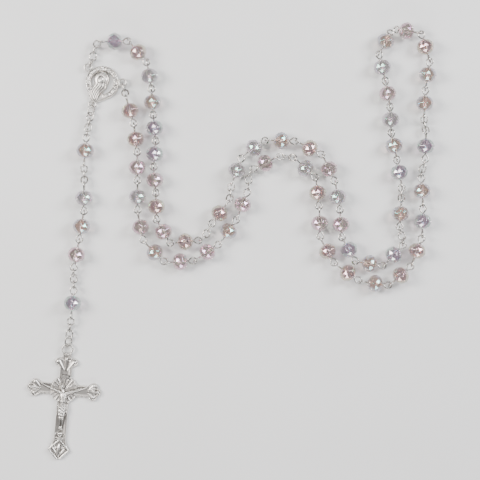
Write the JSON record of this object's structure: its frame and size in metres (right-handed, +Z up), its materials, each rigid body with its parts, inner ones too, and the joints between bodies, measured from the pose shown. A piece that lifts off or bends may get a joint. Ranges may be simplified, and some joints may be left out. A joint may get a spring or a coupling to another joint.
{
  "type": "rosary",
  "caption": "Prayer beads: faceted crystal beads on wire eye pins, chain links, cast centrepiece and hanging crucifix.",
  "frame": {"origin": "middle of the footprint, on the surface that the laid-out rosary rests on", "axes": "+Z up off the surface, +Y towards the top of the layout, +X to the right of it"},
  "size_m": [0.182, 0.1948, 0.0077],
  "materials": {
    "crystal": "faceted clear pale-rose crystal with a pearly coat",
    "silver": "silver-tone cast alloy and bright wire, darkened in the recesses"
  },
  "bodies": {
    "centrepiece": {"centrepiece": "silver"},
    "medal_jump_ring": {"medal_jump_ring": "silver"},
    "upper_chain_link_1": {"upper_chain_link_1": "silver"},
    "upper_chain_link_2": {"upper_chain_link_2": "silver"},
    "upper_chain_link_3": {"upper_chain_link_3": "silver"},
    "upper_chain_link_4": {"upper_chain_link_4": "silver"},
    "pendant_father_1_pin": {"pendant_father_1_pin": "silver"},
    "pendant_father_1_bead": {"pendant_father_1_bead": "crystal"},
    "middle_chain_link_1": {"middle_chain_link_1": "silver"},
    "middle_chain_link_2": {"middle_chain_link_2": "silver"},
    "middle_chain_link_3": {"middle_chain_link_3": "silver"},
    "hail_mary_1_pin": {"hail_mary_1_pin": "silver"},
    "hail_mary_1_bead": {"hail_mary_1_bead": "crystal"},
    "hail_mary_2_pin": {"hail_mary_2_pin": "silver"},
    "hail_mary_2_bead": {"hail_mary_2_bead": "crystal"},
    "hail_mary_3_pin": {"hail_mary_3_pin": "silver"},
    "hail_mary_3_bead": {"hail_mary_3_bead": "crystal"},
    "lower_chain_link_1": {"lower_chain_link_1": "silver"},
    "lower_chain_link_2": {"lower_chain_link_2": "silver"},
    "lower_chain_link_3": {"lower_chain_link_3": "silver"},
    "pendant_father_2_pin": {"pendant_father_2_pin": "silver"},
    "pendant_father_2_bead": {"pendant_father_2_bead": "crystal"},
    "cross_chain_link_1": {"cross_chain_link_1": "silver"},
    "cross_chain_link_2": {"cross_chain_link_2": "silver"},
    "cross_chain_link_3": {"cross_chain_link_3": "silver"},
    "crucifix_jump_ring": {"crucifix_jump_ring": "silver"},
    "crucifix": {"crucifix": "silver"},
    "chain_run_left": {"chain_run_left": "silver"},
    "decade_1_beads_1_2": {"decade_1_beads_1_2": "crystal"},
    "decade_1_beads_3_4": {"decade_1_beads_3_4": "crystal"},
    "decade_1_beads_5_6": {"decade_1_beads_5_6": "crystal"},
    "decade_1_beads_7_8": {"decade_1_beads_7_8": "crystal"},
    "decade_1_beads_9_10": {"decade_1_beads_9_10": "crystal"},
    "our_father_1_with_chain": {"our_father_1_with_chain": "crystal"},
    "decade_2_beads_1_2": {"decade_2_beads_1_2": "crystal"},
    "decade_2_beads_3_4": {"decade_2_beads_3_4": "crystal"},
    "decade_2_beads_5_6": {"decade_2_beads_5_6": "crystal"},
    "decade_2_beads_7_8": {"decade_2_beads_7_8": "crystal"},
    "decade_2_beads_9_10": {"decade_2_beads_9_10": "crystal"},
    "our_father_2_with_chain": {"our_father_2_with_chain": "crystal"},
    "decade_3_beads_1_2": {"decade_3_beads_1_2": "crystal"},
    "decade_3_beads_3_4": {"decade_3_beads_3_4": "crystal"},
    "decade_3_beads_5_6": {"decade_3_beads_5_6": "crystal"},
    "chain_run_right": {"chain_run_right": "silver"},
    "decade_5_beads_9_10": {"decade_5_beads_9_10": "crystal"},
    "decade_5_beads_7_8": {"decade_5_beads_7_8": "crystal"},
    "decade_5_beads_5_6": {"decade_5_beads_5_6": "crystal"},
    "decade_5_beads_3_4": {"decade_5_beads_3_4": "crystal"},
    "decade_5_beads_1_2": {"decade_5_beads_1_2": "crystal"},
    "our_father_4_with_chain": {"our_father_4_with_chain": "crystal"},
    "decade_4_beads_9_10": {"decade_4_beads_9_10": "crystal"},
    "decade_4_beads_7_8": {"decade_4_beads_7_8": "crystal"},
    "decade_4_beads_5_6": {"decade_4_beads_5_6": "crystal"},
    "decade_4_beads_3_4": {"decade_4_beads_3_4": "crystal"},
    "decade_4_beads_1_2": {"decade_4_beads_1_2": "crystal"},
    "our_father_3_with_chain": {"our_father_3_with_chain": "crystal"},
    "decade_3_beads_9_10": {"decade_3_beads_9_10": "crystal"},
    "decade_3_beads_7_8": {"decade_3_beads_7_8": "crystal"}
  },
  "joints": [
    {"name": "medal_jump_ring_hinge", "type": "hinge", "parent": "centrepiece", "child": "medal_jump_ring", "pos_m": [-0.06256, 0.05918, 0.0019], "axis": [-0.9904, 0.1382, 0], "range_deg": [-40, 40]},
    {"name": "upper_chain_link_1_hinge", "type": "hinge", "parent": "medal_jump_ring", "child": "upper_chain_link_1", "pos_m": [-0.06312, 0.05599, 0.0022], "axis": [-0.0124, -0.0735, -0.9972], "range_deg": [-5, 25]},
    {"name": "upper_chain_link_2_hinge", "type": "hinge", "parent": "upper_chain_link_1", "child": "upper_chain_link_2", "pos_m": [-0.06344, 0.05353, 0.00225], "axis": [0.9907, -0.1358, 0], "range_deg": [-40, 40]},
    {"name": "upper_chain_link_3_hinge", "type": "hinge", "parent": "upper_chain_link_2", "child": "upper_chain_link_3", "pos_m": [-0.06396, 0.05116, 0.00213], "axis": [-0.0065, -0.0324, 0.9995], "range_deg": [-25, 5]},
    {"name": "upper_chain_link_4_hinge", "type": "hinge", "parent": "upper_chain_link_3", "child": "upper_chain_link_4", "pos_m": [-0.06443, 0.04885, 0.00269], "axis": [-0.9803, 0.1975, 0], "range_deg": [-40, 40]},
    {"name": "pendant_father_1_pin_hinge", "type": "hinge", "parent": "upper_chain_link_4", "child": "pendant_father_1_pin", "pos_m": [-0.06469, 0.04663, 0.00409], "axis": [-0.0634, -0.4625, -0.8843], "range_deg": [-5, 25]},
    {"name": "pendant_father_1_bead_spin", "type": "hinge", "parent": "pendant_father_1_pin", "child": "pendant_father_1_bead", "pos_m": [-0.06521, 0.04022, 0.00386], "axis": [-0.0845, -0.9964, 0], "continuous": true},
    {"name": "middle_chain_link_1_hinge", "type": "hinge", "parent": "pendant_father_1_pin", "child": "middle_chain_link_1", "pos_m": [-0.06583, 0.03295, 0.00386], "axis": [0, 0, 1], "range_deg": [-25, 5]},
    {"name": "middle_chain_link_2_hinge", "type": "hinge", "parent": "middle_chain_link_1", "child": "middle_chain_link_2", "pos_m": [-0.06584, 0.03054, 0.00215], "axis": [0.9998, -0.019, 0], "range_deg": [-40, 40]},
    {"name": "middle_chain_link_3_hinge", "type": "hinge", "parent": "middle_chain_link_2", "child": "middle_chain_link_3", "pos_m": [-0.06568, 0.02782, 0.00238], "axis": [0, 0, -1], "range_deg": [-5, 25]},
    {"name": "hail_mary_1_pin_hinge", "type": "hinge", "parent": "middle_chain_link_3", "child": "hail_mary_1_pin", "pos_m": [-0.06564, 0.02563, 0.00409], "axis": [-0.9996, -0.0268, 0], "range_deg": [-40, 40]},
    {"name": "hail_mary_1_bead_spin", "type": "hinge", "parent": "hail_mary_1_pin", "child": "hail_mary_1_bead", "pos_m": [-0.06575, 0.01914, 0.00386], "axis": [-0.0156, -0.9999, 0], "continuous": true},
    {"name": "hail_mary_2_pin_hinge", "type": "hinge", "parent": "hail_mary_1_pin", "child": "hail_mary_2_pin", "pos_m": [-0.06587, 0.01184, 0.00386], "axis": [0.9999, -0.0156, 0], "range_deg": [-40, 40]},
    {"name": "hail_mary_2_bead_spin", "type": "hinge", "parent": "hail_mary_2_pin", "child": "hail_mary_2_bead", "pos_m": [-0.06686, 0.00658, 0.00386], "axis": [-0.1622, -0.9868, 0], "continuous": true},
    {"name": "hail_mary_3_pin_hinge", "type": "hinge", "parent": "hail_mary_2_pin", "child": "hail_mary_3_pin", "pos_m": [-0.06804, -0.00062, 0.00386], "axis": [-0.9868, 0.1622, 0], "range_deg": [-40, 40]},
    {"name": "hail_mary_3_bead_spin", "type": "hinge", "parent": "hail_mary_3_pin", "child": "hail_mary_3_bead", "pos_m": [-0.06916, -0.00605, 0.00386], "axis": [-0.1945, -0.9809, 0], "continuous": true},
    {"name": "lower_chain_link_1_hinge", "type": "hinge", "parent": "hail_mary_3_pin", "child": "lower_chain_link_1", "pos_m": [-0.07058, -0.01321, 0.00386], "axis": [0.9809, -0.1945, 0], "range_deg": [-40, 40]},
    {"name": "lower_chain_link_2_hinge", "type": "hinge", "parent": "lower_chain_link_1", "child": "lower_chain_link_2", "pos_m": [-0.07063, -0.01575, 0.0022], "axis": [-0.0217, -0.4876, 0.8728], "range_deg": [-25, 5]},
    {"name": "lower_chain_link_3_hinge", "type": "hinge", "parent": "lower_chain_link_2", "child": "lower_chain_link_3", "pos_m": [-0.07028, -0.01863, 0.00238], "axis": [-0.9948, -0.1021, 0], "range_deg": [-40, 40]},
    {"name": "pendant_father_2_pin_hinge", "type": "hinge", "parent": "lower_chain_link_3", "child": "pendant_father_2_pin", "pos_m": [-0.07027, -0.02105, 0.00404], "axis": [0.0114, -0.4875, -0.8731], "range_deg": [-5, 25]},
    {"name": "pendant_father_2_bead_spin", "type": "hinge", "parent": "pendant_father_2_pin", "child": "pendant_father_2_bead", "pos_m": [-0.07091, -0.02758, 0.00386], "axis": [-0.0918, -0.9958, 0], "continuous": true},
    {"name": "cross_chain_link_1_hinge", "type": "hinge", "parent": "pendant_father_2_pin", "child": "cross_chain_link_1", "pos_m": [-0.07158, -0.03485, 0.00386], "axis": [0, 0, 1], "range_deg": [-25, 5]},
    {"name": "cross_chain_link_2_hinge", "type": "hinge", "parent": "cross_chain_link_1", "child": "cross_chain_link_2", "pos_m": [-0.0719, -0.03749, 0.00222], "axis": [0.9933, -0.1152, 0], "range_deg": [-40, 40]},
    {"name": "cross_chain_link_3_hinge", "type": "hinge", "parent": "cross_chain_link_2", "child": "cross_chain_link_3", "pos_m": [-0.07234, -0.04051, 0.00224], "axis": [0.0044, 0.0307, -0.9995], "range_deg": [-5, 25]},
    {"name": "crucifix_jump_ring_hinge", "type": "hinge", "parent": "cross_chain_link_3", "child": "crucifix_jump_ring", "pos_m": [-0.07274, -0.04328, 0.00227], "axis": [-0.9896, 0.1435, 0], "range_deg": [-40, 40]},
    {"name": "crucifix_hinge", "type": "hinge", "parent": "crucifix_jump_ring", "child": "crucifix", "pos_m": [-0.07322, -0.0468, 0.00151], "axis": [-0.0248, -0.1834, 0.9827], "range_deg": [-25, 5]},
    {"name": "chain_run_left_hinge", "type": "hinge", "parent": "centrepiece", "child": "chain_run_left", "pos_m": [-0.06295, 0.07848, 0.0019], "axis": [0.6883, -0.7255, 0], "range_deg": [-30, 30]},
    {"name": "decade_1_beads_1_2_hinge", "type": "hinge", "parent": "chain_run_left", "child": "decade_1_beads_1_2", "pos_m": [-0.05827, 0.08879, 0.00397], "axis": [-0.6216, 0.7833, 0], "range_deg": [-30, 30]},
    {"name": "decade_1_beads_3_4_hinge", "type": "hinge", "parent": "decade_1_beads_1_2", "child": "decade_1_beads_3_4", "pos_m": [-0.03701, 0.0784, 0.00386], "axis": [-0.7671, -0.6415, 0], "range_deg": [-30, 30]},
    {"name": "decade_1_beads_5_6_hinge", "type": "hinge", "parent": "decade_1_beads_3_4", "child": "decade_1_beads_5_6", "pos_m": [-0.03485, 0.05451, 0.00386], "axis": [0.9976, 0.0686, 0], "range_deg": [-30, 30]},
    {"name": "decade_1_beads_7_8_hinge", "type": "hinge", "parent": "decade_1_beads_5_6", "child": "decade_1_beads_7_8", "pos_m": [-0.03487, 0.03146, 0.00386], "axis": [-0.997, 0.0769, 0], "range_deg": [-30, 30]},
    {"name": "decade_1_beads_9_10_hinge", "type": "hinge", "parent": "decade_1_beads_7_8", "child": "decade_1_beads_9_10", "pos_m": [-0.03347, 0.00808, 0.00386], "axis": [0.9997, 0.026, 0], "range_deg": [-30, 30]},
    {"name": "our_father_1_with_chain_hinge", "type": "hinge", "parent": "decade_1_beads_9_10", "child": "our_father_1_with_chain", "pos_m": [-0.01347, 0.00047, 0.00386], "axis": [0.1023, -0.9948, 0], "range_deg": [-30, 30]},
    {"name": "decade_2_beads_1_2_hinge", "type": "hinge", "parent": "our_father_1_with_chain", "child": "decade_2_beads_1_2", "pos_m": [-0.00017, 0.02546, 0.00409], "axis": [-0.989, 0.1479, 0], "range_deg": [-30, 30]},
    {"name": "decade_2_beads_3_4_hinge", "type": "hinge", "parent": "decade_2_beads_1_2", "child": "decade_2_beads_3_4", "pos_m": [0.01592, 0.04548, 0.00386], "axis": [0.561, -0.8278, 0], "range_deg": [-30, 30]},
    {"name": "decade_2_beads_5_6_hinge", "type": "hinge", "parent": "decade_2_beads_3_4", "child": "decade_2_beads_5_6", "pos_m": [0.04105, 0.03784, 0.00386], "axis": [0.4741, 0.8805, 0], "range_deg": [-30, 30]},
    {"name": "decade_2_beads_7_8_hinge", "type": "hinge", "parent": "decade_2_beads_5_6", "child": "decade_2_beads_7_8", "pos_m": [0.04826, 0.01242, 0.00386], "axis": [-0.9861, -0.1664, 0], "range_deg": [-30, 30]},
    {"name": "decade_2_beads_9_10_hinge", "type": "hinge", "parent": "decade_2_beads_7_8", "child": "decade_2_beads_9_10", "pos_m": [0.05557, -0.01009, 0.00386], "axis": [0.8674, 0.4975, 0], "range_deg": [-30, 30]},
    {"name": "our_father_2_with_chain_hinge", "type": "hinge", "parent": "decade_2_beads_9_10", "child": "our_father_2_with_chain", "pos_m": [0.07688, -0.00067, 0.00386], "axis": [0.7367, -0.6762, 0], "range_deg": [-30, 30]},
    {"name": "decade_3_beads_1_2_hinge", "type": "hinge", "parent": "our_father_2_with_chain", "child": "decade_3_beads_1_2", "pos_m": [0.07542, 0.02513, 0.00419], "axis": [-0.9967, -0.0817, 0], "range_deg": [-30, 30]},
    {"name": "decade_3_beads_3_4_hinge", "type": "hinge", "parent": "decade_3_beads_1_2", "child": "decade_3_beads_3_4", "pos_m": [0.07054, 0.04964, 0.00386], "axis": [0.9791, 0.2033, 0], "range_deg": [-30, 30]},
    {"name": "decade_3_beads_5_6_hinge", "type": "hinge", "parent": "decade_3_beads_3_4", "child": "decade_3_beads_5_6", "pos_m": [0.06792, 0.07276, 0.00386], "axis": [-0.9839, -0.179, 0], "range_deg": [-30, 30]},
    {"name": "chain_run_right_hinge", "type": "hinge", "parent": "centrepiece", "child": "chain_run_right", "pos_m": [-0.04838, 0.06902, 0.0019], "axis": [0.9633, 0.2683, 0], "range_deg": [-30, 30]},
    {"name": "decade_5_beads_9_10_hinge", "type": "hinge", "parent": "chain_run_right", "child": "decade_5_beads_9_10", "pos_m": [-0.04703, 0.06418, 0.004], "axis": [-0.9634, -0.2682, 0], "range_deg": [-30, 30]},
    {"name": "decade_5_beads_7_8_hinge", "type": "hinge", "parent": "decade_5_beads_9_10", "child": "decade_5_beads_7_8", "pos_m": [-0.04197, 0.03809, 0.00386], "axis": [0.9935, 0.1136, 0], "range_deg": [-30, 30]},
    {"name": "decade_5_beads_5_6_hinge", "type": "hinge", "parent": "decade_5_beads_7_8", "child": "decade_5_beads_5_6", "pos_m": [-0.04195, 0.0123, 0.00386], "axis": [-1, -0.0029, 0], "range_deg": [-30, 30]},
    {"name": "decade_5_beads_3_4_hinge", "type": "hinge", "parent": "decade_5_beads_5_6", "child": "decade_5_beads_3_4", "pos_m": [-0.02907, -0.01004, 0.00386], "axis": [0.694, 0.72, 0], "range_deg": [-10, 30]},
    {"name": "decade_5_beads_1_2_hinge", "type": "hinge", "parent": "decade_5_beads_3_4", "child": "decade_5_beads_1_2", "pos_m": [-0.00488, -0.00073, 0.00386], "axis": [0.563, -0.8265, 0], "range_deg": [-30, 30]},
    {"name": "our_father_4_with_chain_hinge", "type": "hinge", "parent": "decade_5_beads_1_2", "child": "our_father_4_with_chain", "pos_m": [0.00737, 0.02311, 0.00386], "axis": [-0.9312, 0.3646, 0], "range_deg": [-30, 30]},
    {"name": "decade_4_beads_9_10_hinge", "type": "hinge", "parent": "our_father_4_with_chain", "child": "decade_4_beads_9_10", "pos_m": [0.02857, 0.03634, 0.00398], "axis": [-0.4721, -0.8816, 0], "range_deg": [-30, 30]},
    {"name": "decade_4_beads_7_8_hinge", "type": "hinge", "parent": "decade_4_beads_9_10", "child": "decade_4_beads_7_8", "pos_m": [0.03888, 0.01415, 0.00386], "axis": [0.9939, 0.1104, 0], "range_deg": [-30, 30]},
    {"name": "decade_4_beads_5_6_hinge", "type": "hinge", "parent": "decade_4_beads_7_8", "child": "decade_4_beads_5_6", "pos_m": [0.0462, -0.01087, 0.00386], "axis": [-0.8669, -0.4984, 0], "range_deg": [-30, 30]},
    {"name": "decade_4_beads_3_4_hinge", "type": "hinge", "parent": "decade_4_beads_5_6", "child": "decade_4_beads_3_4", "pos_m": [0.07089, -0.01975, 0.00386], "axis": [0.1283, 0.9917, 0], "range_deg": [-30, 30]},
    {"name": "decade_4_beads_1_2_hinge", "type": "hinge", "parent": "decade_4_beads_3_4", "child": "decade_4_beads_1_2", "pos_m": [0.08474, 0.00256, 0.00386], "axis": [0.94, -0.3412, 0], "range_deg": [-30, 30]},
    {"name": "our_father_3_with_chain_hinge", "type": "hinge", "parent": "decade_4_beads_1_2", "child": "our_father_3_with_chain", "pos_m": [0.0841, 0.02959, 0.00386], "axis": [-0.9982, -0.0592, 0], "range_deg": [-30, 30]},
    {"name": "decade_3_beads_9_10_hinge", "type": "hinge", "parent": "our_father_3_with_chain", "child": "decade_3_beads_9_10", "pos_m": [0.08538, 0.05563, 0.00413], "axis": [0.9962, 0.0869, 0], "range_deg": [-30, 30]},
    {"name": "decade_3_beads_7_8_hinge", "type": "hinge", "parent": "decade_3_beads_9_10", "child": "decade_3_beads_7_8", "pos_m": [0.08811, 0.08121, 0.00386], "axis": [-0.9886, 0.1503, 0], "range_deg": [-30, 30]}
  ]
}
